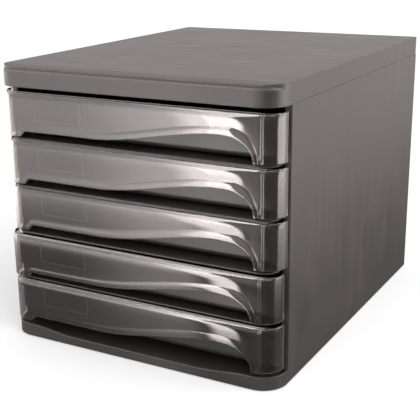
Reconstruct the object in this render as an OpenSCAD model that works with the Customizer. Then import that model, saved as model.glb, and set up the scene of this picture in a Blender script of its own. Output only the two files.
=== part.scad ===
// Five-drawer desktop tower: a moulded housing of base, side panels, back panel,
// shelves and bevelled cover, and five sliding trays behind smoke fronts whose
// lower edge rises in a wave to make room for the fingers.
// Millimetres. X is across, Y runs back from the front, Z is up. The origin is
// the centre of the footprint, on the surface that the tower stands on.

/* [Housing] */
// Width over the side panels
housing_w = 285; // [260:5:320]
// Depth of the cover, front to back
housing_d = 361; // [330:5:400]
// Thickness of the housing mouldings
wall = 2.5; // [2:0.25:3.5]
// Plan radius of the front corners of the cover and base
corner_r = 23; // [16:1:30]
// Plan radius of the rear corners of the cover
rear_r = 3; // [1:0.5:6]
// How far the side panels' front edges stand behind the cover's front
side_setback = 25; // [25:1:32]
// How far the back panel stands in front of the cover's rear edge
rear_inset = 1; // [0.5:0.5:3]
// Height of the tongues that locate the panels inside the cover
tongue_h = 8; // [4:1:12]

/* [Cover] */
// Height of the cover's skirt
cover_h = 18.7; // [15:0.1:26]
// Distance from the cover's front to the back of the sloping bevel
bevel_d = 14; // [9:0.5:18]
// How far the bevel falls over that depth
bevel_drop = 1; // [0.6:0.1:2]
// Radius of the bead between the bevel and the cover's front face
bead_r = 3.5; // [2:0.5:5]
// Height of the step from the bead up to the bevel
bead_step = 1.5; // [0.6:0.1:2]
// Plan radius of the step where it turns the corner
step_r = 24; // [20:1:32]
// Depth of the stiffening ribs under the cover
cover_rib_h = 6; // [3:0.5:10]
// Thickness of the stiffening ribs
rib_t = 1.6; // [1.2:0.1:2.5]

/* [Base] */
// Height of the base's front lip at its corners, over the surface below
lip_h = 12.8; // [10:0.2:18]
// Depth of the shallow scoop in the lip
scoop_drop = 3.8; // [2:0.2:5]
// Distance from each side to the start of the scoop
scoop_inset = 27; // [24:1:45]
// Length over which the scoop falls and rises
scoop_run = 48; // [20:2:70]
// Height of the base's floor
floor_z = 8; // [7:0.5:9]
// Height of the rim over the surface, with the feet fitted
rim_z = 0.8; // [0.5:0.1:1.5]
// Depth of the ribs under the floor
base_rib_h = 3; // [1.5:0.5:4]
// Diameter of the rubber feet
foot_d = 18; // [12:1:24]
// Thickness of the rubber feet
foot_t = 3; // [2:0.5:4]
// Distance of the feet from the side of the housing
foot_inset = 27; // [22:1:40]

/* [Shelves] */
// Thickness of the shelves between the drawers
shelf_t = 1.6; // [1.2:0.1:2.2]
// Gap from the top edge of a drawer front to the shelf over it
shelf_clear = 0.8; // [0.6:0.1:1.6]
// How far the shelves' front edges stand behind the cover's front
shelf_setback = 5.5; // [4:0.5:12]
// How far the shelf ribs reach in from the side panels
groove_d = 3; // [2:0.25:4]
// Distance from the cover's front to the ribs that stop the drawers
stop_y = 95; // [70:5:140]
// Height of the stop ribs
stop_h = 3; // [2:0.25:3.5]

/* [Drawer fronts] */
// Height of a drawer front
front_h = 40.9; // [34:0.1:60]
// Gap between one drawer front and the next
front_gap = 4.5; // [4.2:0.1:8]
// Gap between the base's lip and the lowest front
bottom_gap = 4.1; // [3.5:0.1:7]
// Gap between the top front and the cover
top_gap = 4.9; // [4:0.1:8]
// Thickness of the smoke fronts
front_t = 2.2; // [1.6:0.1:3]
// How far a closed front stands behind the cover's front
front_setback = 5; // [3:0.5:8]
// How far the fronts' ends stand inside the housing's sides
front_inset = 1.5; // [0.5:0.25:3]
// Plan radius of the fronts' corners
front_r = 18.5; // [10:0.5:19]
// Gap from a closed front's ends to the side panels
end_gap = 1; // [0.5:0.25:3]
// How far the rolled top edge of a front stands back
crown_d = 4.5; // [2:0.1:7]
// Height over which the front curves back
crown_h = 14; // [10:1:24]
// How late in that height the front turns back
crown_power = 3.5; // [2:0.1:5]

/* [Wave handle] */
// Height of the wave's low stretch over the front's bottom line
wave_low = 5.4; // [3:0.2:8]
// Height of the wave's crest
wave_high = 21; // [12:0.5:24]
// Distance from the left end to the point where the notch starts
notch_inset = 23; // [20:1:40]
// Length over which the notch rises to the low stretch
notch_run = 7; // [3:1:15]
// Distance from the right end to the start of the rise
rise_inset = 179; // [140:1:200]
// Distance from the right end to the crest
crest_inset = 53; // [45:1:90]
// Distance from the right end to the foot of the leg
leg_inset = 22; // [20:1:40]
// Squareness of the turn from the crest into the leg
leg_power = 2.2; // [1.6:0.1:3]
// Width of the rolled band that follows the wave round its crest
band_w = 10; // [6:0.5:12]
// Width of the band along the low stretch
band_narrow = 4.5; // [3:0.5:6]
// Length over which the band widens, about the start of the rise
band_run = 80; // [40:5:120]
// How far the band rolls forward at its widest
band_out = 1.4; // [0.5:0.1:2.5]
// How sharply the band's crease is drawn
band_power = 3.2; // [1.5:0.1:4]

/* [Drawer trays] */
// Distance from a front's face to the tray's front wall behind it
tray_setback = 13; // [10:0.5:16]
// Thickness of the tray walls and floor
tray_t = 2; // [1.5:0.1:2.5]
// Height of the tray floor's underside over the front's bottom line
tray_lift = 1; // [0.5:0.1:3]
// Height of the tray's rim over the front's bottom line
tray_rim = 36; // [26:0.5:36]
// Gap from the tray to the shelf ribs at each side
tray_gap = 1.5; // [0.5:0.25:3]
// Gap from the closed tray's rear wall to the back panel
tray_rear_gap = 7; // [4:0.5:15]
// Plan radius of the tray's corners
tray_r = 6; // [3:0.5:10]
// Radius along the tray's lower front edge
tray_nose_r = 5; // [3:0.5:8]
// Width of the skids under the tray
skid_w = 3; // [2:0.5:6]
// Distance of the skids from the tray's sides
skid_inset = 17; // [10:1:40]
// Running gap under the skids
run_gap = 0.3; // [0.2:0.05:0.5]
// Gap between a front and the flange and ears of the tray that hold it
clip_gap = 0.35; // [0.25:0.05:0.5]
// Length of the ears along the drawer
ear_l = 3; // [2:0.5:3]
// Width of the card frame on the tray's front wall
card_w = 52; // [30:1:80]
// Height of the card frame
card_h = 20.5; // [12:0.5:22]
// Distance of the card frame from the tray's left side
card_inset = 26.5; // [15:0.5:60]
// Height of the card frame over the front's bottom line
card_z = 13; // [8:0.5:14]
// Width and depth of the card frame's ribs
card_rib = 1.2; // [0.8:0.1:2]
// Width of the catches on the tray's rear wall
catch_w = 20; // [10:1:40]
// Distance of the catches from the middle of the tray
catch_x = 60; // [30:5:90]

/* [As found] */
// How far each drawer stands open, from the top down
open_1 = 3; // [0:0.5:200]
open_2 = 1.5; // [0:0.5:200]
open_3 = 0; // [0:0.5:200]
open_4 = 6; // [0:0.5:200]
open_5 = 5; // [0:0.5:200]

/* [Hidden] */
$fn = 64;
eps = 0.01;
drawers = 5;
opened = [open_1, open_2, open_3, open_4, open_5];
charcoal = [0.33, 0.32, 0.31];
smoke = [0.42, 0.39, 0.38, 0.7];
rubber = [0.08, 0.08, 0.08];

half_w = housing_w / 2;
inner_x = half_w - wall;
pitch = front_h + front_gap;
first_z = lip_h + bottom_gap;
cover_z = first_z + drawers * pitch - front_gap + top_gap;
housing_h = cover_z + cover_h;
back_y = housing_d - rear_inset - wall;

// Height of drawer number i's bottom line, counted from the top
function drawer_z(i) = first_z + (drawers - i) * pitch;

// Shelves hang this far over the bottom line of the front below them
shelf_under = front_h + shelf_clear;
shelf_drop = pitch - shelf_under - shelf_t;
groove_x = inner_x - groove_d;

// Plan of the drawer front, closed, in the housing's frame
front_x = half_w - front_inset;
front_end_y = side_setback - end_gap;
arc_x = front_x - front_r;
arc_y = front_setback + front_r;
notch_x = notch_inset - front_x;
rise_x = front_x - rise_inset;
crest_x = front_x - crest_inset;
leg_x = front_x - leg_inset;

// Tray, closed
tray_x = groove_x - tray_gap;
edge_x = tray_x + tray_gap / 3;
tray_y = front_setback + tray_setback;
tray_end = back_y - tray_rear_gap;
catch_top = shelf_under - 1;
skid_x = tray_x - skid_inset;
ear_x = front_x - front_t - clip_gap;

module in_frame() {
    translate([0, -housing_d / 2, 0]) children();
}

// ---- plan outlines -------------------------------------------------------

module rounded_plan(w, y0, y1, front_radius, back_radius) {
    translate([-w / 2, y0 + front_radius]) square([w, y1 - y0 - front_radius - back_radius]);
    translate([-w / 2 + front_radius, y0]) square([w - 2 * front_radius, front_radius + eps]);
    translate([-w / 2 + back_radius, y1 - back_radius - eps])
        square([w - 2 * back_radius, back_radius + eps]);
    for (side = [-1, 1]) {
        translate([side * (w / 2 - front_radius), y0 + front_radius]) circle(r = front_radius);
        translate([side * (w / 2 - back_radius), y1 - back_radius]) circle(r = back_radius);
    }
}

// A profile drawn in Y and Z, drawn out along X over a width w
module across(w) {
    translate([-w / 2, 0, 0]) rotate([90, 0, 90]) linear_extrude(w) children();
}

// ---- cover ---------------------------------------------------------------

bead_z = housing_h - bevel_drop - bead_step;

// Where the step meets the cover's rounded corner, and the centre of its turn
meet_x = half_w - corner_r + sqrt(pow(corner_r, 2) - pow(corner_r - bevel_d, 2));
turn_y = bead_r + step_r;
turn_x = meet_x - sqrt(pow(step_r, 2) - pow(turn_y - bevel_d, 2));

module cover_plan() {
    rounded_plan(housing_w, 0, housing_d, corner_r, rear_r);
}

// Plan of the raised top, which stops short of the bead
module raised_plan() {
    intersection() {
        cover_plan();
        union() {
            translate([-half_w, bevel_d]) square([housing_w, housing_d]);
            translate([-turn_x, bead_r]) square([2 * turn_x, housing_d / 2]);
            for (side = [-1, 1])
                translate([side * turn_x, turn_y]) circle(r = step_r);
        }
    }
}

module quarter_round() {
    intersection() {
        circle(r = bead_r);
        square(bead_r);
    }
}

module cover_shell() {
    corner_x = half_w - corner_r;
    spring_z = bead_z - bead_r;
    // skirt up to the bead
    translate([0, 0, cover_z]) linear_extrude(spring_z - cover_z) cover_plan();
    // bead along the front and round both corners
    translate([0, 0, spring_z - eps]) linear_extrude(bead_r + eps)
        rounded_plan(housing_w - 2 * bead_r, bead_r, housing_d / 2, corner_r - bead_r, 1);
    across(2 * corner_x) translate([bead_r, spring_z]) mirror([1, 0]) quarter_round();
    for (side = [0, 1])
        mirror([side, 0, 0]) translate([corner_x, corner_r, spring_z])
            rotate([0, 0, -90]) rotate_extrude(angle = 90)
                translate([corner_r - bead_r, 0]) quarter_round();
    // raised top with the bevel along its front
    difference() {
        translate([0, 0, spring_z - eps]) linear_extrude(housing_h - spring_z + eps) raised_plan();
        across(housing_w + 2) polygon([
            [0, housing_h - bevel_drop * bevel_d / (bevel_d - bead_r)],
            [bevel_d, housing_h],
            [bevel_d, housing_h + 1],
            [0, housing_h + 1]
        ]);
    }
}

module top_cover() {
    under = bead_z - wall;
    rib_x = inner_x - 2 * wall;
    rib_end = back_y - 2 * wall;
    rib_z = under - cover_rib_h;
    rib_top = housing_h - wall + eps;
    color(charcoal) in_frame() {
        difference() {
            cover_shell();
            translate([0, 0, cover_z - 1]) linear_extrude(under - cover_z + 1)
                rounded_plan(2 * inner_x, wall, housing_d - wall, corner_r - wall, 1);
            translate([0, 0, under - 1]) linear_extrude(housing_h - wall - under + 1)
                rounded_plan(2 * inner_x - 2 * wall, bevel_d + wall, housing_d - 2 * wall, wall, 1);
        }
        // stiffening ribs across and along the underside
        for (part = [1:3])
            translate([-rib_x, housing_d * part / 4, rib_z]) cube([2 * rib_x, rib_t, rib_top - rib_z]);
        for (side = [-1, 0, 1])
            translate([side * rib_x / 2 - rib_t / 2, bevel_d, rib_z])
                cube([rib_t, rib_end - bevel_d, rib_top - rib_z]);
        // rib that stops the top drawer's catches
        stop_z = drawer_z(1) + shelf_under - stop_h;
        translate([-rib_x, stop_y, stop_z]) cube([2 * rib_x, wall, rib_top - stop_z]);
    }
}

// ---- base ----------------------------------------------------------------

function smooth(t) = let (c = min(max(t, 0), 1)) c * c * (3 - 2 * c);

// Height of the lip's top edge at x
function lip_top(x) =
    lip_h - scoop_drop * smooth((half_w - scoop_inset - abs(x)) / scoop_run);

module lip_section() {
    steps = 40;
    reach = half_w - scoop_inset;
    polygon(concat(
        [for (k = [0:steps]) let (x = -reach + 2 * reach * k / steps) [x, lip_top(x)]],
        [[reach, lip_h + 1], [-reach, lip_h + 1]]
    ));
}

// The part of the base's plan in front of the side panels
module lip_plan(inset) {
    intersection() {
        rounded_plan(housing_w - 2 * inset, inset, housing_d, corner_r - inset, 1);
        translate([-half_w, 0]) square([housing_w, side_setback - inset]);
    }
}

module base_plan(inset) {
    lip_plan(inset);
    translate([inset - inner_x, side_setback - 2 * wall])
        square([2 * (inner_x - inset), back_y - side_setback + 2 * wall - inset]);
}

module foot_at(x, y) {
    translate([x * (half_w - foot_inset), y, 0]) children();
}

foot_ys = [foot_inset, back_y - foot_inset + 1];

rail_top = drawer_z(drawers) - shelf_drop;

module base() {
    color(charcoal) in_frame() difference() {
        union() {
            // floor
            translate([0, 0, floor_z - wall]) linear_extrude(wall) base_plan(0);
            // rim round the floor, and the lip in front of it
            difference() {
                translate([0, 0, rim_z]) linear_extrude(floor_z - rim_z) base_plan(0);
                translate([0, 0, rim_z - 1]) linear_extrude(floor_z) base_plan(wall);
            }
            front_lip();
            // rails that carry the lowest drawer
            for (side = [-1, 1])
                translate([side * skid_x - skid_w, side_setback, floor_z - eps])
                    cube([2 * skid_w, back_y - side_setback, rail_top - floor_z + eps]);
            // ribs under the floor
            for (part = [1:3]) {
                translate([-inner_x + eps, back_y * part / 4, floor_z - wall - base_rib_h])
                    cube([2 * inner_x - 2 * eps, rib_t, base_rib_h + eps]);
                translate([inner_x * (part - 2) / 2 - rib_t / 2, wall - eps, floor_z - wall - base_rib_h])
                    cube([rib_t, back_y - 2 * wall + 2 * eps, base_rib_h + eps]);
            }
            // bosses that the feet are pressed into
            for (x = [-1, 1], y = foot_ys)
                foot_at(x, y) translate([0, 0, rim_z])
                    cylinder(d = foot_d + 2 * wall, h = floor_z - rim_z - eps);
        }
        for (x = [-1, 1], y = foot_ys)
            foot_at(x, y) translate([0, 0, -eps]) cylinder(d = foot_d, h = foot_t + eps);
    }
}

module front_lip() {
    difference() {
        translate([0, 0, floor_z - wall]) linear_extrude(lip_h - floor_z + wall) lip_plan(0);
        translate([0, 0, floor_z]) linear_extrude(lip_h)
            rounded_plan(2 * inner_x, wall, housing_d / 2, corner_r - wall, 1);
        translate([0, corner_r, 0]) rotate([90, 0, 0]) linear_extrude(corner_r + 1) lip_section();
    }
}

module foot(x, y) {
    color(rubber) in_frame() foot_at(x, y) cylinder(d = foot_d, h = foot_t);
}

// ---- panels --------------------------------------------------------------

// Left panel for side = -1, right panel for side = 1
module side_panel(side) {
    color(charcoal) in_frame() mirror([side < 0 ? 1 : 0, 0, 0]) {
        // plate
        translate([inner_x, side_setback, rim_z])
            cube([wall, back_y - side_setback, cover_z - rim_z]);
        // tongue inside the cover
        translate([inner_x - wall, side_setback + wall, cover_z - tongue_h])
            cube([wall + eps, back_y - side_setback - 3 * wall, tongue_h]);
        translate([inner_x - wall, side_setback + wall, cover_z])
            cube([wall, back_y - side_setback - 3 * wall, tongue_h]);
        // turned-in front edge, which the ears of a closed drawer meet
        translate([edge_x, side_setback, lip_h])
            cube([inner_x - edge_x + eps, wall, cover_z - lip_h]);
        // ribs over and under each shelf
        for (i = [1 : drawers - 1], over = [0, 1])
            translate([groove_x, side_setback + wall - eps, groove_z(i, over)])
                cube([groove_d + eps, back_y - side_setback - wall, rib_t]);
    }
}

// Underside of the rib under (over = 0) or over (over = 1) shelf i
function groove_z(i, over) =
    drawer_z(i) - shelf_drop - (over == 1 ? -run_gap : shelf_t + run_gap + rib_t);

module back_panel() {
    field = 22;
    color(charcoal) in_frame() {
        difference() {
            translate([-half_w, back_y, rim_z]) cube([housing_w, wall, cover_z - rim_z]);
            // shallow sunk field
            translate([0, back_y + wall + 1, (cover_z + rim_z) / 2]) rotate([90, 0, 0])
                linear_extrude(2) rounded_plan(
                    housing_w - 2 * field, -cover_z / 2 + field, cover_z / 2 - field, 10, 10);
        }
        translate([-inner_x + 2 * wall, back_y - wall, cover_z - tongue_h])
            cube([2 * inner_x - 4 * wall, wall + eps, tongue_h]);
        translate([-inner_x + 2 * wall, back_y - wall, cover_z])
            cube([2 * inner_x - 4 * wall, wall, tongue_h]);
    }
}

// ---- shelves -------------------------------------------------------------

// Shelf i lies under drawer i
module shelf(i) {
    top_z = drawer_z(i) - shelf_drop;
    nose_x = edge_x - run_gap;
    color(charcoal) in_frame() {
        translate([0, 0, top_z - shelf_t]) linear_extrude(shelf_t) {
            rounded_plan(2 * nose_x, shelf_setback, side_setback + 2 * wall, front_r - 3, 0.5);
            translate([run_gap - inner_x, side_setback + wall + run_gap])
                square([2 * (inner_x - run_gap), back_y - side_setback - wall - 2 * run_gap]);
        }
        // rib that stops the catches of the drawer below
        translate([-tray_x, stop_y, top_z - shelf_t - stop_h]) cube([2 * tray_x, wall, stop_h + eps]);
    }
}

// ---- drawer fronts -------------------------------------------------------

// Height of the front's lower edge at x, over its bottom line
function wave_z(x) =
    x <= notch_x || x >= leg_x ? 0
    : x < crest_x
    ? wave_low * smooth((x - notch_x) / notch_run)
        + (wave_high - wave_low) * smooth((x - rise_x) / (crest_x - rise_x))
    : wave_high * pow(1 - pow((x - crest_x) / (leg_x - crest_x), leg_power), 1 / leg_power);

// How far the front has curved back at height z
function crown(z) =
    let (t = min(1, max(0, (z - front_h + crown_h) / crown_h)))
    crown_d * (1 - pow(1 - pow(t, crown_power), 1 / crown_power));

// Places along the leg, closer together where it falls steeply
leg_steps = 8;
function leg_at(k) = crest_x + (leg_x - crest_x) * pow(sin(90 * k / leg_steps), 2 / leg_power);

notch_xs = [for (k = [0:4]) notch_x + notch_run * k / 4];
low_steps = 4;
low_xs = [for (k = [1:low_steps]) notch_x + notch_run + (rise_x - notch_x - notch_run) * k / low_steps];
rise_steps = 10;
rise_xs = [for (k = [1:rise_steps]) rise_x + (crest_x - rise_x) * k / rise_steps];
leg_xs = [for (k = [1:leg_steps]) leg_at(k)];
wave_xs = concat(notch_xs, low_xs, rise_xs, leg_xs);

// Distance from a point of the front to the wave's edge
function wave_gap(x, z) = min([for (w = wave_xs) norm([x - w, z - wave_z(w)])]);
function band_at(x) = band_narrow + (band_w - band_narrow) * smooth((x - rise_x) / band_run + 0.5);
function flare(x, z) =
    band_out * band_at(x) / band_w * (1 - pow(min(1, wave_gap(x, z) / band_at(x)), band_power));

// Height of the band's crease over x, found by halving the step
function crease_z(x, z, step) =
    step < 0.1 ? z
    : crease_z(x, wave_gap(x, z + step) < band_at(x) ? z + step : z, step / 2);

// Stations round the front: place and outward direction, from left to right
arc_steps = 8;
function arc_station(side, a) =
    [side * (arc_x + front_r * sin(a)), arc_y - front_r * cos(a), side * sin(a), -cos(a)];
stations = concat(
    [[-front_x, front_end_y, -1, 0]],
    [for (k = [0:arc_steps]) arc_station(-1, 90 - 90 * k / arc_steps)],
    [for (x = wave_xs) [x, front_setback, 0, -1]],
    [for (k = [0:arc_steps]) arc_station(1, 90 * k / arc_steps)],
    [[front_x, front_end_y, 1, 0]]
);

// Heights of the rows of a station: in the band, one between, and in the rolled top
band_rows = [0, 0.4, 0.7, 0.88, 1];
top_rows = [0.45, 0.2, 0.07, 0];
band_least = 3;
function rows(low, x) =
    let (
        crease = max(low + band_least, crease_z(x, low, band_w)),
        top = front_h - crown_h * top_rows[0]
    )
    concat(
        [for (r = band_rows) low + (crease - low) * r],
        [(crease + top) / 2],
        [for (r = top_rows) front_h - crown_h * r]
    );
row_count = len(band_rows) + len(top_rows) + 1;

// Tilt of the skin at height z, where back is the share of the crown that reaches this station
function tilt(z, back) = atan(back * (crown(z) - crown(z - 0.5)) / 0.5);

// A point of the front's skin, set in by the wall for the inner skin
function skin(s, z, in) =
    let (
        share = (front_end_y - s[1]) / (front_end_y - front_setback),
        lean = tilt(z, share),
        out = flare(s[0], z) * max(0, -s[3]) - in * cos(lean)
    )
    [s[0] + s[2] * out, s[1] + s[3] * out + crown(z) * share, z - in * sin(lean)];

function low_of(s) = s[1] > front_setback + eps ? 0 : wave_z(s[0]);

module front_shell() {
    n = len(stations);
    m = row_count;
    outer = [for (s = stations, z = rows(low_of(s), s[0])) skin(s, z, 0)];
    inner = [for (s = stations, z = rows(low_of(s), s[0])) skin(s, z, front_t)];
    off = n * m;
    faces = concat(
        [for (i = [0 : n - 2], j = [0 : m - 2], half = [0, 1])
            let (a = i * m + j, b = a + m)
            half == 0 ? [a, a + 1, b] : [a + 1, b + 1, b]],
        [for (i = [0 : n - 2], j = [0 : m - 2], half = [0, 1])
            let (a = off + i * m + j, b = a + m)
            half == 0 ? [a, b, a + 1] : [a + 1, b, b + 1]],
        [for (i = [0 : n - 2], half = [0, 1])
            let (a = i * m, b = a + m)
            half == 0 ? [a, b, a + off] : [b, b + off, a + off]],
        [for (i = [0 : n - 2], half = [0, 1])
            let (a = i * m + m - 1, b = a + m)
            half == 0 ? [a, a + off, b] : [b, a + off, b + off]],
        [for (j = [0 : m - 2], half = [0, 1])
            let (a = j, b = j + 1)
            half == 0 ? [a, a + off, b] : [b, a + off, b + off]],
        [for (j = [0 : m - 2], half = [0, 1])
            let (a = (n - 1) * m + j, b = a + 1)
            half == 0 ? [a, b, a + off] : [b, b + off, a + off]]
    );
    polyhedron(points = concat(outer, inner), faces = faces, convexity = 6);
}

module placed(i) {
    in_frame() translate([0, -opened[i - 1], drawer_z(i)]) children();
}

module drawer_front(i) {
    color(smoke) placed(i) front_shell();
}

// ---- drawer trays --------------------------------------------------------

// The tray's solid body, set in by d on every side but the top
module tray_body(d) {
    y0 = tray_y + d;
    z0 = tray_lift + d;
    r = tray_nose_r - d;
    intersection() {
        translate([0, 0, z0]) linear_extrude(tray_rim - z0 + (d > 0 ? 1 : 0))
            rounded_plan(2 * (tray_x - d), y0, tray_end - d, tray_r - d, tray_r - d);
        across(housing_w) union() {
            translate([y0 + r, z0]) square([tray_end - y0, front_h]);
            translate([y0, z0 + r]) square([r + eps, front_h - r]);
            translate([y0 + r, z0 + r]) circle(r = r);
        }
    }
}

module card_frame() {
    x0 = card_inset - tray_x;
    translate([x0, tray_y - card_rib, card_z]) difference() {
        cube([card_w, card_rib + eps, card_h]);
        translate([card_rib, -1, card_rib])
            cube([card_w - 2 * card_rib, card_rib + 2, card_h - 2 * card_rib]);
    }
}

// Flange from the tray's rim to the inside of the front
module tray_flange() {
    flange_y = front_setback + front_t + crown(tray_rim) + clip_gap;
    flange_r = front_r - front_t - clip_gap;
    translate([0, 0, tray_rim - tray_t]) linear_extrude(tray_t) difference() {
        intersection() {
            rounded_plan(2 * ear_x, flange_y, front_end_y + 2 * flange_r, flange_r, 1);
            translate([-ear_x, 0]) square([2 * ear_x, front_end_y]);
        }
        rounded_plan(2 * (tray_x - tray_t), tray_y + tray_t, tray_end, tray_r - tray_t, 1);
    }
}

module drawer_tray(i) {
    color(charcoal) placed(i) {
        difference() {
            tray_body(0);
            tray_body(tray_t);
        }
        tray_flange();
        card_frame();
        for (side = [-1, 1]) {
            // ears that the front's ends clip over
            translate([side > 0 ? tray_x - tray_t : -ear_x, front_end_y - ear_l, tray_lift + tray_nose_r])
                cube([ear_x - tray_x + tray_t, ear_l, tray_rim - tray_lift - tray_nose_r]);
            // skids
            translate([side * skid_x - skid_w / 2, tray_y + tray_r, run_gap - shelf_drop])
                cube([skid_w, tray_end - tray_y - 2 * tray_r, tray_lift + shelf_drop - run_gap + eps]);
            // catches on the rear wall
            translate([side * catch_x - catch_w / 2, tray_end - tray_t, tray_rim - eps])
                cube([catch_w, tray_t, catch_top - tray_rim + eps]);
        }
    }
}

// ---- nodes ---------------------------------------------------------------

base();
side_panel(-1);  // side_panel_left
side_panel(1);  // side_panel_right
back_panel();
top_cover();
shelf(1);  // shelf_1
shelf(2);  // shelf_2
shelf(3);  // shelf_3
shelf(4);  // shelf_4
drawer_tray(1);  // drawer_tray_1
drawer_tray(2);  // drawer_tray_2
drawer_tray(3);  // drawer_tray_3
drawer_tray(4);  // drawer_tray_4
drawer_tray(5);  // drawer_tray_5
drawer_front(1);  // drawer_front_1
drawer_front(2);  // drawer_front_2
drawer_front(3);  // drawer_front_3
drawer_front(4);  // drawer_front_4
drawer_front(5);  // drawer_front_5
foot(-1, foot_ys[0]);  // foot_front_left
foot(1, foot_ys[0]);  // foot_front_right
foot(-1, foot_ys[1]);  // foot_rear_left
foot(1, foot_ys[1]);  // foot_rear_right
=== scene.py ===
"""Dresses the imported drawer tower: satin charcoal housing and trays, glossy smoke fronts, pale stage."""
import math

import bmesh
import bpy
from mathutils import Matrix, Vector


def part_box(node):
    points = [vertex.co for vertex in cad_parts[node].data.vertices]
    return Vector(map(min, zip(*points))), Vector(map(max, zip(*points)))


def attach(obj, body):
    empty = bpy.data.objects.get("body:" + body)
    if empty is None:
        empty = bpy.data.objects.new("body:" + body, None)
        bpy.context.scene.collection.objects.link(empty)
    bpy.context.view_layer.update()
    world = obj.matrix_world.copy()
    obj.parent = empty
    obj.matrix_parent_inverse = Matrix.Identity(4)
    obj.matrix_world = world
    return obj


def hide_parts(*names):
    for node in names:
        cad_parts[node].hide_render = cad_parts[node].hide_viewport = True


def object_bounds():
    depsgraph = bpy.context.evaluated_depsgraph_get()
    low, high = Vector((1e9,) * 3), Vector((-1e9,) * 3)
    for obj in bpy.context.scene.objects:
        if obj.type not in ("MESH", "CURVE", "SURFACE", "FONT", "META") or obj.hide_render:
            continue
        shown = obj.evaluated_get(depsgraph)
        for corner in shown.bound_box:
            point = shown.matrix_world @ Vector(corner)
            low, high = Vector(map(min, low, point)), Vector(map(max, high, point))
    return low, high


bl_info = {
    "name": "Drawer Tower",
    "version": (1, 0, 0),
    "blender": (4, 5, 0),
    "location": "3D View > Sidebar > Drawer Tower",
    "description": "Moulded desktop tower with sliding trays behind smoke fronts with a wave handle",
    "category": "Add Mesh",
}

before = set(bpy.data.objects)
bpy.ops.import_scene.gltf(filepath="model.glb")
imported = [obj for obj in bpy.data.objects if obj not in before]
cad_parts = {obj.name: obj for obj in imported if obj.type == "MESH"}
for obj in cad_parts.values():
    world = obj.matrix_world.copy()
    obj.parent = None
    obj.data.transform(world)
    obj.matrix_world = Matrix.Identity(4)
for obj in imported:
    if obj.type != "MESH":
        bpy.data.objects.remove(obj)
cad_low, cad_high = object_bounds()
MM = 0.001


def nodes_named(start):
    return sorted(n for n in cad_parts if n.startswith(start))


def node_size(node):
    low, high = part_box(node)
    return high - low


FRONTS = nodes_named("drawer_front_")
TRAYS = nodes_named("drawer_tray_")
SHELVES = nodes_named("shelf_")
FEET = nodes_named("foot_")
PANELS = ("side_panel_left", "side_panel_right", "back_panel")


# ---- settings that a user would change ------------------------------------


class TowerFront(bpy.types.PropertyGroup):
    """Sizes of one drawer front."""

    height: bpy.props.FloatProperty(
        name="Height", description="Height of a front", default=node_size(FRONTS[0]).z, unit="LENGTH")
    half_width: bpy.props.FloatProperty(
        name="Half width", description="Half the width over a front's ends",
        default=node_size(FRONTS[0]).x / 2, unit="LENGTH")
    wall: bpy.props.FloatProperty(
        name="Wall", description="Thickness of the smoke moulding", default=2.2 * MM, unit="LENGTH")
    rim: bpy.props.FloatProperty(
        name="Rim", description="Width of the rounded rim", default=0.45 * MM, unit="LENGTH")
    depth: bpy.props.FloatProperty(
        name="Depth", description="Depth of the wrap, from the face to the ends",
        default=19 * MM, unit="LENGTH")
    corner: bpy.props.FloatProperty(
        name="Corner radius", description="Plan radius of the corners", default=18.5 * MM, unit="LENGTH")
    crown_depth: bpy.props.FloatProperty(
        name="Crown depth", description="How far the top edge stands back",
        default=4.5 * MM, unit="LENGTH")
    crown_height: bpy.props.FloatProperty(
        name="Crown height", description="Height over which the face curves back",
        default=14 * MM, unit="LENGTH")
    crown_power: bpy.props.FloatProperty(
        name="Crown power", description="How late the face turns back", default=3.5)
    wave_low: bpy.props.FloatProperty(
        name="Low stretch", description="Height of the wave's low stretch",
        default=5.4 * MM, unit="LENGTH")
    wave_high: bpy.props.FloatProperty(
        name="Crest", description="Height of the wave's crest", default=21 * MM, unit="LENGTH")
    notch_inset: bpy.props.FloatProperty(
        name="Notch", description="From the left end to the notch", default=23 * MM, unit="LENGTH")
    notch_run: bpy.props.FloatProperty(
        name="Notch run", description="Length over which the notch rises",
        default=7 * MM, unit="LENGTH")
    rise_inset: bpy.props.FloatProperty(
        name="Rise", description="From the right end to the start of the rise",
        default=179 * MM, unit="LENGTH")
    crest_inset: bpy.props.FloatProperty(
        name="Crest inset", description="From the right end to the crest",
        default=53 * MM, unit="LENGTH")
    leg_inset: bpy.props.FloatProperty(
        name="Leg inset", description="From the right end to the foot of the leg",
        default=22 * MM, unit="LENGTH")
    leg_power: bpy.props.FloatProperty(
        name="Leg squareness", description="Squareness of the turn into the leg", default=2.2)
    band: bpy.props.FloatProperty(
        name="Band", description="Width of the rolled band round the crest",
        default=6.5 * MM, unit="LENGTH")
    crease_run: bpy.props.FloatProperty(
        name="Crease run", description="Length of the crease's level part past the crest",
        default=11 * MM, unit="LENGTH")
    crease_power: bpy.props.FloatProperty(
        name="Crease squareness", description="Squareness of the crease's turn down", default=1.8)
    band_narrow: bpy.props.FloatProperty(
        name="Narrow band", description="Width of the band along the low stretch",
        default=4.5 * MM, unit="LENGTH")
    band_run: bpy.props.FloatProperty(
        name="Band run", description="Length over which the band widens",
        default=80 * MM, unit="LENGTH")
    band_out: bpy.props.FloatProperty(
        name="Roll", description="How far the band rolls forward at its widest",
        default=0.6 * MM, unit="LENGTH")
    band_power: bpy.props.FloatProperty(
        name="Crease", description="How sharply the band's crease is drawn", default=2.2)


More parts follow.
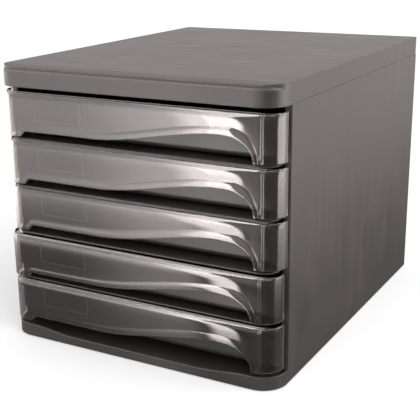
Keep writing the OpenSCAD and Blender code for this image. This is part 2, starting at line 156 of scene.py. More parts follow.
class TowerFinish(bpy.types.PropertyGroup):
    """Colours and surfaces."""

    charcoal: bpy.props.FloatVectorProperty(
        name="Housing colour", description="Colour of the housing mouldings", subtype="COLOR",
        size=3, min=0, max=1, default=(0.0555, 0.0485, 0.047))
    tray: bpy.props.FloatVectorProperty(
        name="Tray colour", description="Colour of the trays", subtype="COLOR",
        size=3, min=0, max=1, default=(0.045, 0.0415, 0.0405))
    # The card frame's pale ribs are a painted highlight along the frame's edges
    card: bpy.props.FloatVectorProperty(
        name="Card frame colour", description="Colour of the ribs that frame a tray's card",
        subtype="COLOR", size=3, min=0, max=1, default=(0.4, 0.38, 0.37))
    smoke: bpy.props.FloatVectorProperty(
        name="Smoke tint", description="Tint of the transparent fronts", subtype="COLOR",
        size=3, min=0, max=1, default=(0.42, 0.38, 0.37))
    rubber: bpy.props.FloatVectorProperty(
        name="Rubber colour", description="Colour of the feet", subtype="COLOR",
        size=3, min=0, max=1, default=(0.02, 0.02, 0.02))
    grain: bpy.props.FloatProperty(
        name="Grain", description="Size of the moulded texture's grain", default=0.7 * MM, unit="LENGTH")
    satin: bpy.props.FloatProperty(
        name="Satin", description="Roughness of the housing", subtype="FACTOR", min=0, max=1,
        default=0.42)
    tray_satin: bpy.props.FloatProperty(
        name="Tray satin", description="Roughness of the trays", subtype="FACTOR", min=0, max=1,
        default=0.36)


class TowerStage(bpy.types.PropertyGroup):
    """Lamps, floor and surroundings."""

    floor_size: bpy.props.FloatProperty(
        name="Floor", description="Side of the pale floor", default=30, unit="LENGTH")
    sky: bpy.props.FloatProperty(
        name="Surround", description="Strength of the soft light from all sides", default=0.75, min=0)
    key: bpy.props.FloatProperty(
        name="Key lamp", description="Power of the large lamp above", default=14, min=0, unit="POWER")
    window: bpy.props.FloatProperty(
        name="Window", description="Brightness of the window that the glossy parts mirror",
        default=9.5, min=0)


# ---- shader building -------------------------------------------------------


class Value:
    """A number socket. Sums and products of Values add Math nodes."""

    def __init__(self, sheet, socket):
        self.sheet = sheet
        self.socket = socket

    def __add__(self, other):
        return self.sheet.join("ADD", self, other)

    __radd__ = __add__

    def __sub__(self, other):
        return self.sheet.join("SUBTRACT", self, other)

    def __rsub__(self, other):
        return self.sheet.join("SUBTRACT", other, self)

    def __mul__(self, other):
        return self.sheet.join("MULTIPLY", self, other)

    __rmul__ = __mul__

    def __pow__(self, other):
        return self.sheet.join("POWER", self, other)


class Sheet:
    """A node tree that is being written."""

    # Sockets of a Mix node that mixes colours, and its colour output
    FIRST_COLOUR = 6
    SECOND_COLOUR = 7
    MIXED_COLOUR = 2

    def __init__(self, tree):
        self.tree = tree
        tree.nodes.clear()

    def node(self, kind, settings=None, inputs=None):
        """Adds one node: settings first, then the values or links of its sockets."""
        made = self.tree.nodes.new(kind)
        for name, setting in (settings or {}).items():
            setattr(made, name, setting)
        for name, given in (inputs or {}).items():
            if isinstance(given, Value):
                given = given.socket
            if isinstance(given, bpy.types.NodeSocket):
                self.tree.links.new(given, made.inputs[name])
            else:
                made.inputs[name].default_value = given
        return made

    def value(self, node, output=0):
        return Value(self, node.outputs[output])

    def vector(self, operation, *parts, **inputs):
        """A Vector Math node on vectors or colours, with its other sockets by name."""
        return self.node(
            "ShaderNodeVectorMath", {"operation": operation}, {**dict(enumerate(parts)), **inputs})

    def tinted(self, colour, level):
        return self.vector("SCALE", colour, Scale=level).outputs["Vector"]

    def join(self, operation, *values):
        """A Math node on one or two values."""
        return self.value(self.node("ShaderNodeMath", {"operation": operation}, dict(enumerate(values))))

    def split(self, vector):
        """The three parts of a vector."""
        parts = self.node("ShaderNodeSeparateXYZ", {}, {0: vector})
        return [self.value(parts, k) for k in range(3)]

    def noise(self, place, scale, detail=3, roughness=0.55):
        node = self.node("ShaderNodeTexNoise", {}, {
            "Vector": place, "Scale": scale, "Detail": detail, "Roughness": roughness})
        return self.value(node, "Fac")

    def range(self, value, low, high, new_low=0, new_high=1, smooth=False):
        """value from low..high to new_low..new_high, and no further."""
        interpolation = "SMOOTHSTEP" if smooth else "LINEAR"
        node = self.node("ShaderNodeMapRange", {"interpolation_type": interpolation}, {
            "Value": value, "From Min": low, "From Max": high, "To Min": new_low, "To Max": new_high})
        return self.value(node)

    def mix(self, factor, first, second):
        node = self.node("ShaderNodeMix", {"data_type": "RGBA"}, {
            0: factor, self.FIRST_COLOUR: first, self.SECOND_COLOUR: second})
        return node.outputs[self.MIXED_COLOUR]

    def bump(self, height, distance, strength, **inputs):
        node = self.node("ShaderNodeBump", {}, {
            "Height": height, "Distance": distance, "Strength": strength, **inputs})
        return node.outputs["Normal"]

    def finish(self, **sockets):
        """Adds the surface shader with these sockets and the output."""
        inputs = {name.replace("_", " "): given for name, given in sockets.items()}
        shader = self.node("ShaderNodeBsdfPrincipled", {}, inputs)
        self.node("ShaderNodeOutputMaterial", {}, {"Surface": shader.outputs["BSDF"]})


def rgba(colour, level=1):
    return (*(min(c * level, 1) for c in colour), 1)


def new_sheet(name):
    material = bpy.data.materials.new(name)
    material.use_nodes = True
    return material, Sheet(material.node_tree)


# ---- materials -------------------------------------------------------------

# Satin mouldings. Scales are in waves per metre, spans and ramps are over a noise's value, and a
# texture's roughness is the range that it adds.
NOISE_SPAN = (0.3, 0.7)
CLOUD_SCALE = 22
CLOUD_DETAIL = 5
CLOUD_BREAK = 0.6
CLOUD_ROUGH = 0.2
FLOW_STRETCH = (12, 150, 8)  # long across the cover and down the panels, a few mm wide
FLOW_SHADE = 0.1
FLOW_ROUGH = 0.16
SPARK_ROUGH = 0.1
SPARK_HEIGHT = 0.05  # as a share of the grain
SPARK_STRENGTH = 0.5
WEAR_SCALE = 34
WEAR_RAMP = (0.35, 0.65, 0.3, 1)
EDGE_RADIUS = 1.2 * MM
EDGE_SAMPLES = 6
EDGE_TURN = (0.02, 0.2)  # 1 - cosine of the turn at which an edge starts and is full
# Edge paleness and its share: part rubbed wear, part a painted highlight on the rounded edges
EDGE_WEAR_AND_HIGHLIGHT_PALE = 2.2
EDGE_WEAR_AND_HIGHLIGHT_SHARE = 0.3
EDGE_POLISH = 0.08
MOULDING_IOR = 1.5
# Shelves are the housing colour darkened by this share: painted shade between the drawers
SHELF_PAINTED_SHADE = 0.8
SHELF_ROUGHER = 0.05
TRAY_COARSER = 1.3
TRAY_CLOUD = 0.06
# Box round the card frame's ribs, in mm from a tray's lowest corner; their pale colour is a painted
# highlight
CARD_FRAME_HIGHLIGHT_BOX = (29.4, 8.8, 14.7), (81.5, 10.1, 35.4)

# Smoke fronts
HAZE_SCALE = 14
HAZE_SPAN = (0.35, 0.7)
HAZE_PALE = 1.12
HAZE_DULL_SPAN = (0.4, 0.75)
HAZE_ROUGH = 0.02
POLISH = 0.012
RIPPLE_SCALE = 6
RIPPLE_HEIGHT = 0.3 * MM
RIPPLE_STRENGTH = 0.1
SMOKE_IOR = 1.58
SMOKE_CLEAR = 0.97

# Rubber feet
DUST_SCALE = 90
DUST_SPAN = (0.5, 0.8)
DUST_PALE = 2.5
DUST_HEIGHT = 0.1 * MM
DUST_STRENGTH = 0.4
DUST_ROUGH = 0.2
RUBBER_ROUGH = 0.7


def inside(sheet, place, low, high):
    """1 in a box of the coordinates, 0 outside."""
    share = 1
    for k, at in enumerate(sheet.split(place)):
        share = share * sheet.join("GREATER_THAN", at, low[k]) * sheet.join("LESS_THAN", at, high[k])
    return share


def moulded_plastic(name, colour, roughness, grain, cloud=0.14, card_highlight_box=None, pale=None):
    """Satin moulded plastic: sparked grain, clouds, flow streaks, edges paled by wear and painted
    highlight.
    """
    material, sheet = new_sheet(name)
    coordinates = sheet.node("ShaderNodeTexCoord")
    place = coordinates.outputs["Object"]
    clouds = sheet.noise(place, CLOUD_SCALE, detail=CLOUD_DETAIL, roughness=CLOUD_BREAK)
    drawn = sheet.node("ShaderNodeMapping", {}, {"Vector": place, "Scale": FLOW_STRETCH}).outputs["Vector"]
    flow = sheet.noise(drawn, 1)
    wear = sheet.range(sheet.noise(place, WEAR_SCALE), *WEAR_RAMP)
    sparks = sheet.noise(place, 1 / grain, detail=2)
    bevel = sheet.node("ShaderNodeBevel", {"samples": EDGE_SAMPLES}, {"Radius": EDGE_RADIUS})
    soft = bevel.outputs["Normal"]
    sharp = sheet.node("ShaderNodeNewGeometry").outputs["Normal"]
    turned = 1 - sheet.value(sheet.vector("DOT_PRODUCT", soft, sharp), "Value")
    # Pale edges: rubbed wear in patches, and a painted highlight along every rounded edge
    edge = sheet.range(turned, *EDGE_TURN) * wear
    shade = (sheet.range(clouds, *NOISE_SPAN, 1 - cloud, 1 + cloud)
             * sheet.range(flow, *NOISE_SPAN, 1 - FLOW_SHADE, 1 + FLOW_SHADE))
    base = sheet.mix(edge * EDGE_WEAR_AND_HIGHLIGHT_SHARE, sheet.tinted(colour, shade), rgba(colour, EDGE_WEAR_AND_HIGHLIGHT_PALE))
    # The card frame's ribs are painted pale: a painted highlight along the frame's edges
    if card_highlight_box:
        base = sheet.mix(inside(sheet, coordinates.outputs["Generated"], *card_highlight_box), base, rgba(pale))
    rough = (roughness + (clouds - 0.5) * CLOUD_ROUGH + (flow - 0.5) * FLOW_ROUGH
             + (sparks - 0.5) * SPARK_ROUGH - edge * EDGE_POLISH)
    sheet.finish(
        Base_Color=base, Roughness=rough, IOR=MOULDING_IOR,
        Normal=sheet.bump(sparks, grain * SPARK_HEIGHT, SPARK_STRENGTH, Normal=soft))
    return material


def smoke_styrene(name, tint):
    """Clear smoke-tinted moulding, polished, with faint haze and ripples."""
    material, sheet = new_sheet(name)
    place = sheet.node("ShaderNodeTexCoord").outputs["Object"]
    haze = sheet.noise(place, HAZE_SCALE, detail=4)
    ripples = sheet.noise(place, RIPPLE_SCALE, detail=1)
    sheet.finish(
        Base_Color=sheet.mix(sheet.range(haze, *HAZE_SPAN), rgba(tint), rgba(tint, HAZE_PALE)),
        Roughness=POLISH + sheet.range(haze, *HAZE_DULL_SPAN) * HAZE_ROUGH,
        IOR=SMOKE_IOR, Transmission_Weight=SMOKE_CLEAR,
        Normal=sheet.bump(ripples, RIPPLE_HEIGHT, RIPPLE_STRENGTH))
    return material


def foot_rubber(name, colour):
    """Matt rubber with a little dust."""
    material, sheet = new_sheet(name)
    dust = sheet.noise(sheet.node("ShaderNodeTexCoord").outputs["Object"], DUST_SCALE)
    sheet.finish(
        Base_Color=sheet.mix(sheet.range(dust, *DUST_SPAN), rgba(colour), rgba(colour, DUST_PALE)),
        Roughness=RUBBER_ROUGH + (dust - 0.5) * DUST_ROUGH,
        Normal=sheet.bump(dust, DUST_HEIGHT, DUST_STRENGTH))
    return material


def dress(nodes, material):
    for node in nodes:
        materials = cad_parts[node].data.materials
        materials.clear()
        materials.append(material)


# ---- drawer fronts ---------------------------------------------------------


def smooth(t):
    t = min(max(t, 0.0), 1.0)
    return t * t * (3 - 2 * t)


class WaveFront:
    """Shape of one closed front: X across, Y from its face to its ends, Z from its bottom line."""

    ARC_STEPS = 18
    NOTCH_STEPS = 10
    LOW_STEPS = 22
    RISE_STEPS = 44
    LEG_STEPS = 34
    BAND_ROWS = 10
    FACE_ROWS = 8
    ROLL_ROWS = 16
    ROLL_START = 0.7  # as a share of the crown's height
    LEAST_BAND = 2 * MM
    SEARCH_END = 0.02 * MM
    ON_FACE = 1e-6

    def __init__(self, sizes):
        self.s = sizes
        self.notch_x = sizes.notch_inset - sizes.half_width
        self.low_x = self.notch_x + sizes.notch_run
        self.rise_x = sizes.half_width - sizes.rise_inset
        self.crest_x = sizes.half_width - sizes.crest_inset
        self.leg_x = sizes.half_width - sizes.leg_inset
        self.wave_xs = self.spread(self.notch_x, self.low_x, self.NOTCH_STEPS)
        self.wave_xs += self.spread(self.low_x, self.rise_x, self.LOW_STEPS)
        self.wave_xs += self.spread(self.rise_x, self.crest_x, self.RISE_STEPS)
        self.wave_xs += [self.leg_at(k / self.LEG_STEPS) for k in range(self.LEG_STEPS + 1)]
        self.edge = [(x, self.wave_z(x)) for x in self.wave_xs]
        self.crease_top = sizes.wave_high + sizes.band
        self.turn_x = self.crest_x + sizes.crease_run
        self.crease_end = self.leg_x + sizes.band
        turn_xs = self.spread(self.turn_x, self.crease_end, self.LEG_STEPS)
        turn = [(x, self.crease_height(x)) for x in turn_xs]
        self.crease = [(self.crest_x - sizes.band, self.crease_top), *turn, (self.crease_end, 0.0)]

    @staticmethod
    def spread(start, end, steps):
        return [start + (end - start) * k / steps for k in range(steps)]

    def leg_at(self, part):
        run = self.leg_x - self.crest_x
        return self.crest_x + run * math.sin(math.pi / 2 * part) ** (2 / self.s.leg_power)

    def wave_z(self, x):
        """Height of the lower edge at x."""
        s = self.s
        if x <= self.notch_x or x >= self.leg_x:
            return 0.0
        if x < self.crest_x:
            notch = smooth((x - self.notch_x) / s.notch_run)
            rise = smooth((x - self.rise_x) / (self.crest_x - self.rise_x))
            return s.wave_low * notch + (s.wave_high - s.wave_low) * rise
        part = (x - self.crest_x) / (self.leg_x - self.crest_x)
        return s.wave_high * max(0.0, 1 - part ** s.leg_power) ** (1 / s.leg_power)

    def crown(self, z):
        """How far the rolled top stands back at height z."""
        s = self.s
        t = min(1.0, max(0.0, (z - s.height + s.crown_height) / s.crown_height))
        return s.crown_depth * (1 - (1 - t ** s.crown_power) ** (1 / s.crown_power))

    def band_at(self, x):
        """Width of the band, which widens evenly about the start of the rise."""
        s = self.s
        return s.band_narrow + (s.band - s.band_narrow) * smooth((x - self.rise_x) / s.band_run + 0.5)

    def gap(self, line, x, z):
        """Distance from a point of the front to a line on it."""
        return min(self.span_gap(x, z, start, end) for start, end in zip(line, line[1:]))

    @staticmethod
    def span_gap(x, z, start, end):
        run, rise = end[0] - start[0], end[1] - start[1]
        part = ((x - start[0]) * run + (z - start[1]) * rise) / (run * run + rise * rise)
        part = min(1.0, max(0.0, part))
        return math.hypot(x - start[0] - run * part, z - start[1] - rise * part)

    def crease_height(self, x):
        """Height of the band's crease beyond the crest."""
        power = self.s.crease_power
        part = min(1.0, max(0.0, (x - self.turn_x) / (self.crease_end - self.turn_x)))
        return self.crease_top * max(0.0, 1 - part ** power) ** (1 / power)

    def into_band(self, x, z):
        """Distance from the crease down into the band, as a share of its width."""
        width = self.band_at(x)
        if x < self.crest_x:
            return max(0.0, 1 - self.gap(self.edge, x, z) / width)
        return min(1.0, self.gap(self.crease, x, z) / width) if z < self.crease_height(x) else 0.0

    def flare(self, x, z):
        """How far the band rolls forward at a point."""
        rise = 1 - (1 - self.into_band(x, z)) ** self.s.band_power
        return self.s.band_out * self.band_at(x) / self.s.band * rise

    def crease_z(self, x, low):
        """Height of the band's crease over x, found by halving the step."""
        if x >= self.crest_x:
            return self.crease_height(x)
        z, step = low, self.s.band
        while step > self.SEARCH_END:
            if self.into_band(x, z + step) > 0:
                z += step
            step /= 2
        return z

    def columns(self):
        """Plan point and outward direction, from the left end to the right end."""
        s = self.s
        arc_x = s.half_width - s.corner
        quarter = [math.pi / 2 * k / self.ARC_STEPS for k in range(self.ARC_STEPS + 1)]
        turns = [(math.sin(a), math.cos(a)) for a in reversed(quarter)]
        left = [(-arc_x - s.corner * sine, s.corner * (1 - cosine), -sine, -cosine)
                for sine, cosine in turns]
        right = [(-x, y, -nx, ny) for x, y, nx, ny in reversed(left)]
        middle = [(x, 0.0, 0.0, -1.0) for x in self.wave_xs if -arc_x < x < arc_x]
        left_end = (-s.half_width, s.depth, -1.0, 0.0)
        right_end = (s.half_width, s.depth, 1.0, 0.0)
        return [left_end, *left, *middle, *right, right_end]

    def heights(self, low, x):
        """Rows of a column: the band up to its crease, the flat face, then the rolled top."""
        s = self.s
        crease = max(low + self.LEAST_BAND, self.crease_z(x, low))
        turn = s.height - s.crown_height * self.ROLL_START
        band = [low + (crease - low) * math.sin(math.pi / 2 * k / self.BAND_ROWS)
                for k in range(self.BAND_ROWS)]
        face = self.spread(crease, turn, self.FACE_ROWS)
        roll = [turn + (s.height - turn) * math.sin(math.pi / 2 * k / self.ROLL_ROWS)
                for k in range(self.ROLL_ROWS + 1)]
        return band + face + roll

    def point(self, column, z):
        """The skin's point at height z of a column."""
        x, y, nx, ny = column
        out = self.flare(x, z) * max(0.0, -ny)
        back = self.crown(z) * (self.s.depth - y) / self.s.depth
        return Vector((x + nx * out, y + ny * out + back, z))

    def mesh(self, name):
        """The outer skin as one grid; the wall's thickness is added by a modifier."""
        build = bmesh.new()
        grid = []
        for column in self.columns():
            x, y = column[:2]
            low = self.wave_z(x) if y < self.ON_FACE else 0.0
            grid.append([build.verts.new(self.point(column, z)) for z in self.heights(low, x)])
        for this, following in zip(grid, grid[1:]):
            for j in range(len(this) - 1):
                build.faces.new((this[j], following[j], following[j + 1], this[j + 1]))
        bmesh.ops.recalc_face_normals(build, faces=build.faces)
        mesh = bpy.data.meshes.new(name)
        build.to_mesh(mesh)
        build.free()
        mesh.shade_smooth()
        return mesh


# Least turn between two faces, in degrees, that makes an edge of the rim
RIM_TURN = 50


def add_modifier(piece, kind, name, **settings):
    modifier = piece.modifiers.new(name, kind)
    for key, setting in settings.items():
        setattr(modifier, key, setting)


class TOWER_OT_fronts(bpy.types.Operator):
    """Smoke fronts with the wave handle, one for each drawer"""

    bl_idname = "tower.fronts"
    bl_label = "Drawer fronts"

    def execute(self, context):
        sizes = context.scene.tower_front
        mesh = WaveFront(sizes).mesh("wave_front")
        mesh.materials.append(smoke_styrene("smoke_styrene", context.scene.tower_finish.smoke))
        for node in FRONTS:
            low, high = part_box(node)
            piece = bpy.data.objects.new(node.replace("drawer_front", "smoke_front"), mesh)
            context.scene.collection.objects.link(piece)
            piece.location = (0, high.y - sizes.depth, low.z)
            add_modifier(piece, "SOLIDIFY", "wall", thickness=sizes.wall, offset=-1, use_even_offset=True)
            add_modifier(piece, "BEVEL", "rounded rim", width=sizes.rim, segments=2, limit_method="ANGLE",
                         angle_limit=math.radians(RIM_TURN))
            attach(piece, node.replace("front_", ""))
            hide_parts(node)
        return {"FINISHED"}


class TOWER_OT_housing(bpy.types.Operator):
    """Base, panels, shelves and bevelled cover"""

    bl_idname = "tower.housing"
    bl_label = "Housing"

    def execute(self, context):
        look = context.scene.tower_finish
        # The shelves are a darker copy of the housing plastic: painted shade
        shelf_shaded_colour = [c * SHELF_PAINTED_SHADE for c in look.charcoal]
        outer = moulded_plastic("charcoal_plastic", look.charcoal, look.satin, look.grain)
        shaded_shelf_plastic = moulded_plastic("shelf_plastic", shelf_shaded_colour, look.satin + SHELF_ROUGHER, look.grain)
        dress(("top_cover", "base", *PANELS), outer)
        dress(SHELVES, shaded_shelf_plastic)
        return {"FINISHED"}


class TOWER_OT_trays(bpy.types.Operator):
    """Sliding trays behind the fronts"""

    bl_idname = "tower.trays"
    bl_label = "Trays"

    def execute(self, context):
        look = context.scene.tower_finish
        size = node_size(TRAYS[0])
        card = [[corner[k] * MM / size[k] for k in range(3)] for corner in CARD_FRAME_HIGHLIGHT_BOX]
        dress(TRAYS, moulded_plastic(
            "tray_plastic", look.tray, look.tray_satin, look.grain * TRAY_COARSER, cloud=TRAY_CLOUD,
            card_highlight_box=card, pale=look.card))
        return {"FINISHED"}


class TOWER_OT_feet(bpy.types.Operator):
    """Rubber feet under the base"""

    bl_idname = "tower.feet"
    bl_label = "Feet"

    def execute(self, context):
        dress(FEET, foot_rubber("foot_rubber", context.scene.tower_finish.rubber))
        return {"FINISHED"}


# ---- camera ----------------------------------------------------------------

# The photograph's camera, solved from the tower's straight edges
PHOTO_SIDE = 420
CENTRE_SHIFT = 20  # pixels from the middle of the photo to the middle of the lens
SENSOR = 36  # mm, as is the focal length
FOCAL_LENGTH = 79.57
CAMERA_PLACE = (0.4311067, -0.8262679, 0.3785416)
CAMERA_RIGHT = (0.8701238, 0.4926340, -0.0140113)
CAMERA_UP = (-0.1311753, 0.2589082, 0.9569533)
CAMERA_BACK = (0.4750553, -0.8308299, 0.2899036)


def add_camera():
    """Camera at the photograph's place and angle."""
    lens = bpy.data.cameras.new("camera")
    lens.sensor_width = SENSOR
    lens.lens = FOCAL_LENGTH
    lens.shift_x = CENTRE_SHIFT / PHOTO_SIDE
    lens.clip_start = 0.05
    lens.clip_end = 100
    camera = bpy.data.objects.new("camera", lens)
    bpy.context.scene.collection.objects.link(camera)
    turn = Matrix((CAMERA_RIGHT, CAMERA_UP, CAMERA_BACK)).transposed().to_4x4()
    camera.matrix_world = Matrix.Translation(CAMERA_PLACE) @ turn
    bpy.context.scene.camera = camera


# ---- the room that the glossy parts mirror ---------------------------------

# Strips of the room by heading, in degrees: start, full, fading, end. Straight ahead of the fronts
# is 0 and the right is positive.
GLARE_REACH = (-60, -59, -26.7, -26.3)
GLARE_CORE = (-28.8, -28.4, -26.7, -26.3)
GLARE_VEIL = (-38, -31, -30, -28)
PALE_WALL = (-130, -80, -30.5, -28)
DARK_WALL = (-27, -26, 72, 80)
WALL_SHEEN = (-28, -27, -20, -12)
LEFT_SLIT = (-12, -9, -6, -3)
RIGHT_SLIT = (0, 3, 6, 9)
RIGHT_WINDOW = (80, 84, 112, 145)
# Headings at which something starts and is full
LEFTWARD = (-24, -27)
PALE_RISE = (-40, -31)
BEHIND = (105, 140)
RIGHT_SIDE = (-1, 1)  # in radians, for a slow change from left to right
# The same for the glare, and how far each turns where the glare is tight
GLARE_START, START_TURN = -31.2, 2.6
GLARE_FULL, FULL_TURN = -28.4, 0.8

# Strengths of the strips, as shares of the window's, and what the far floor adds
CORE_LEVEL = 0.5
VEIL_LEVEL, VEIL_FAR = 0.12, -0.02
PALE_LEVEL, PALE_GAIN = 0.24, 0.21
LEFT_SLIT_LEVEL = 0.5
RIGHT_SLIT_LEVEL = 0.45
RIGHT_LEVEL, RIGHT_FAR = 0.18, 0.32
# Brightness of the room without its windows, and what the right side adds behind the tower
ROOM_LEVEL = 0.35
DARK_WALL_LEVEL = -0.25
BEHIND_LEVEL, BEHIND_RIGHT = 0.55, 0.45

# Points that the headings are taken round: the photograph's camera mirrored in the fronts, and the
# fronts' right corner
WINDOW_PIVOT = (0.431, 0.469)
CORNER_PIVOT = (0.13, -0.17)
# How far the window's heading turns on the floor far out, in radians
FAR_TURN = 0.002

# Ramps over the floor's distance beside the tower, in metres: from and to, then the values at those.
# Without values, they run from 0 to 1.
OPEN_RAMP = (0.17, 0.45, 0.12, 0.75)
OPEN_FAR_RAMP = (0.4, 1, 0, 0.25)
FAR_RAMP = (0.4, 1.1)
TIGHT_RAMP = (0.5, 0.25)
NEAR_RAMP = (0.03, 0.15)
RIGHT_REACH = 1.5  # how much farther the floor on the right counts

# The same for what lifts the floor to white for the eye, over the distance from the tower's middle
LIFT_RAMP = (0.6, 3, 0.26, 0.42)
FLOOR_COLOUR = (0.86, 0.86, 0.86)

# The surround: its brightness overhead, and ramps over the height of a ray's direction, along which
# the room begins and its glare widens
OVERHEAD = 0.3
SKY_RAMP = (0.95, 0.8)
SKY_TIGHT_RAMP = (0.3, 0.75, 0, -8)
SKY_GLARE = 0.82
ROOM_TINT = (1, 0.945, 0.935)
WHITE = (1, 1, 1)
# A ray with more bounces than this sees no room
MOST_BOUNCES = 3.5

# The lamp, in metres
KEY_PLACE = (0.9, -0.5, 1.4)
KEY_AIM = (0, 0, 0.15)
KEY_SIDE = 1.4


def mirror_ray(sheet, path):
    """1 for rays mirrored by the fronts or the housing, 0 for those that only came through the smoke."""
    mirrored = sheet.join("MINIMUM", sheet.value(path, "Glossy Depth"), 1)
    short = sheet.join("LESS_THAN", sheet.value(path, "Ray Depth"), MOST_BOUNCES)
    return sheet.value(path, "Is Glossy Ray") * mirrored * short


def heading_of(sheet, x, y):
    """Direction over the floor, 0 straight ahead of the fronts and positive to the right."""
    return sheet.join("ARCTAN2", x, -1 * y)


def past(sheet, heading, start, full):
    """0 before one heading in degrees and 1 past the other."""
    return sheet.range(heading, math.radians(start), math.radians(full), smooth=True)


def strip(sheet, heading, start, full, fading, end):
    """1 between the headings full and fading, and 0 before start and past end."""
    return past(sheet, heading, start, full) * past(sheet, heading, end, fading)


def room_glare(sheet, left_heading, tight, far):
    """The bright edge of the left window, with a core and a faint veil beside it."""
    start = math.radians(GLARE_START) + math.radians(START_TURN) * tight
    full = math.radians(GLARE_FULL) + math.radians(FULL_TURN) * tight
    edge = sheet.range(left_heading, start, full, smooth=True)
    return (edge * strip(sheet, left_heading, *GLARE_REACH)
            + CORE_LEVEL * far * strip(sheet, left_heading, *GLARE_CORE)
            + (VEIL_LEVEL + VEIL_FAR * far) * strip(sheet, left_heading, *GLARE_VEIL))


def room_level(sheet, left_heading, heading, window, tight, near, far=1, open_floor=1):
    """Brightness of the room: a window and a pale wall on the left, a dark wall, a window on the right."""
    leftward = past(sheet, heading, *LEFTWARD)
    glare = leftward * room_glare(sheet, left_heading, tight, far)
    rise = sheet.range(left_heading, *(math.radians(turn) for turn in PALE_RISE)) ** 2
    pale = strip(sheet, left_heading, *PALE_WALL) * leftward * (PALE_LEVEL + PALE_GAIN * rise)
    right = (LEFT_SLIT_LEVEL * strip(sheet, heading, *LEFT_SLIT)
             + RIGHT_SLIT_LEVEL * strip(sheet, heading, *RIGHT_SLIT)
             + (RIGHT_LEVEL + RIGHT_FAR * far) * strip(sheet, heading, *RIGHT_WINDOW))
    behind = past(sheet, sheet.join("ABSOLUTE", heading), *BEHIND)
    right_side = sheet.range(heading, *RIGHT_SIDE)
    room = (ROOM_LEVEL + DARK_WALL_LEVEL * strip(sheet, heading, *DARK_WALL)
            + (BEHIND_LEVEL + BEHIND_RIGHT * right_side) * behind + strip(sheet, heading, *WALL_SHEEN))
    return (glare * near + (pale + right) * open_floor) * window + room * open_floor


# ---- stage -----------------------------------------------------------------


def add_floor(size, window):
    """Pale floor; the glossy parts mirror it as dim near the tower and bright out in the room."""
    bpy.ops.mesh.primitive_grid_add(size=size, x_subdivisions=8, y_subdivisions=8)
    floor = bpy.context.object
    floor.name = "floor"
    material, sheet = new_sheet("pale_floor")
    matt = sheet.node("ShaderNodeBsdfDiffuse", {}, {"Color": rgba(FLOOR_COLOUR)})
    path = sheet.node("ShaderNodeLightPath")
    seen = sheet.value(path, "Is Camera Ray") + sheet.value(path, "Is Transmission Ray")
    place = sheet.node("ShaderNodeNewGeometry").outputs["Position"]
    away = sheet.value(sheet.vector("LENGTH", place), "Value")
    glow = sheet.node("ShaderNodeEmission", {}, {"Color": seen * sheet.range(away, *LIFT_RAMP)})
    shown = sheet.node("ShaderNodeAddShader", {}, {0: matt.outputs[0], 1: glow.outputs[0]})
    x, y, _ = sheet.split(place)
    right = (x - cad_high.x) * RIGHT_REACH
    beside = sheet.join("MAXIMUM", right, sheet.join("MAXIMUM", cad_low.x - x, cad_low.y - y))
    far = sheet.range(beside, *FAR_RAMP)
    level = room_level(
        sheet,
        heading_of(sheet, x - WINDOW_PIVOT[0], y - WINDOW_PIVOT[1]) - far * FAR_TURN,
        heading_of(sheet, x - CORNER_PIVOT[0], y - CORNER_PIVOT[1]),
        window,
        tight=sheet.range(beside, *TIGHT_RAMP),
        near=sheet.range(beside, *NEAR_RAMP),
        far=far,
        open_floor=sheet.range(beside, *OPEN_RAMP, smooth=True) + sheet.range(beside, *OPEN_FAR_RAMP))
    mirrored = sheet.node("ShaderNodeEmission", {}, {"Color": sheet.tinted(ROOM_TINT, level)})
    both = sheet.node("ShaderNodeMixShader", {}, {
        0: mirror_ray(sheet, path), 1: shown.outputs[0], 2: mirrored.outputs[0]})
    sheet.node("ShaderNodeOutputMaterial", {}, {"Surface": both.outputs[0]})
    floor.data.materials.append(material)


def add_surround(strength, window):
    """White all round to the eye and plain light; the glossy parts mirror the room, dim overhead."""
    world = bpy.data.worlds.new("studio")
    bpy.context.scene.world = world
    world.use_nodes = True
    sheet = Sheet(world.node_tree)
    path = sheet.node("ShaderNodeLightPath")
    x, y, z = sheet.split(sheet.node("ShaderNodeTexCoord").outputs["Generated"])
    around = heading_of(sheet, x, y)
    low = sheet.range(z, *SKY_RAMP, smooth=True)
    room = room_level(sheet, around, around, window, tight=sheet.range(z, *SKY_TIGHT_RAMP), near=SKY_GLARE)
    mirror = OVERHEAD + low * (room - OVERHEAD)
    plain = 1 + sheet.value(path, "Is Diffuse Ray") * (strength - 1)
    level = sheet.mix(mirror_ray(sheet, path), sheet.tinted(WHITE, plain), sheet.tinted(ROOM_TINT, mirror))
    back = sheet.node("ShaderNodeBackground", {}, {"Color": level})
    sheet.node("ShaderNodeOutputWorld", {}, {"Surface": back.outputs[0]})
    world.cycles.sampling_method = "NONE"


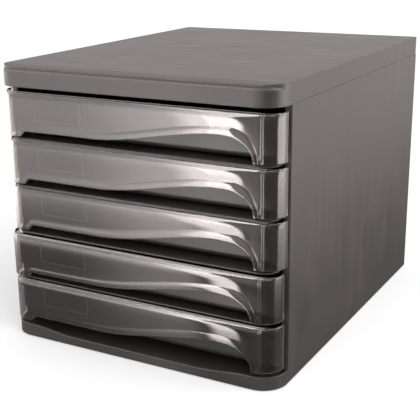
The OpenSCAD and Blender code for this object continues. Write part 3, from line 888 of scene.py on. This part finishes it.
def add_key_lamp(power):
    """Large soft lamp above, to the right of the camera."""
    lamp = bpy.data.lights.new("key", "AREA")
    lamp.size = KEY_SIDE
    lamp.energy = power
    holder = bpy.data.objects.new("key", lamp)
    bpy.context.scene.collection.objects.link(holder)
    holder.location = KEY_PLACE
    holder.rotation_mode = "QUATERNION"
    holder.rotation_quaternion = (Vector(KEY_AIM) - Vector(KEY_PLACE)).to_track_quat("-Z", "Y")
    holder.visible_camera = False


class TOWER_OT_stage(bpy.types.Operator):
    """Pale floor, soft lamp, surround and the camera"""

    bl_idname = "tower.stage"
    bl_label = "Stage"

    def execute(self, context):
        stage = context.scene.tower_stage
        context.scene.view_settings.view_transform = "Standard"
        add_camera()
        add_floor(stage.floor_size, stage.window)
        add_surround(stage.sky, stage.window)
        add_key_lamp(stage.key)
        return {"FINISHED"}


# ---- add-on ----------------------------------------------------------------


STEPS = (TOWER_OT_housing, TOWER_OT_trays, TOWER_OT_fronts, TOWER_OT_feet, TOWER_OT_stage)


class TOWER_PT_panel(bpy.types.Panel):
    """Lists the tower's operators"""

    bl_idname = "TOWER_PT_panel"
    bl_label = "Drawer Tower"
    bl_space_type = "VIEW_3D"
    bl_region_type = "UI"
    bl_category = "Drawer Tower"

    def draw(self, context):
        for step in STEPS:
            self.layout.operator(step.bl_idname)
        for group in (context.scene.tower_front, context.scene.tower_finish, context.scene.tower_stage):
            box = self.layout.box()
            for name in group.__annotations__:
                box.prop(group, name)


GROUPS = {"tower_front": TowerFront, "tower_finish": TowerFinish, "tower_stage": TowerStage}


def register():
    for name, group in GROUPS.items():
        bpy.utils.register_class(group)
        setattr(bpy.types.Scene, name, bpy.props.PointerProperty(type=group))
    for step in (*STEPS, TOWER_PT_panel):
        bpy.utils.register_class(step)


def unregister():
    for step in (TOWER_PT_panel, *reversed(STEPS)):
        bpy.utils.unregister_class(step)
    for name, group in GROUPS.items():
        delattr(bpy.types.Scene, name)
        bpy.utils.unregister_class(group)


def main():
    register()
    for step in STEPS:
        name = step.bl_idname.split(".")[1]
        getattr(bpy.ops.tower, name)()


if __name__ == "__main__":
    main()
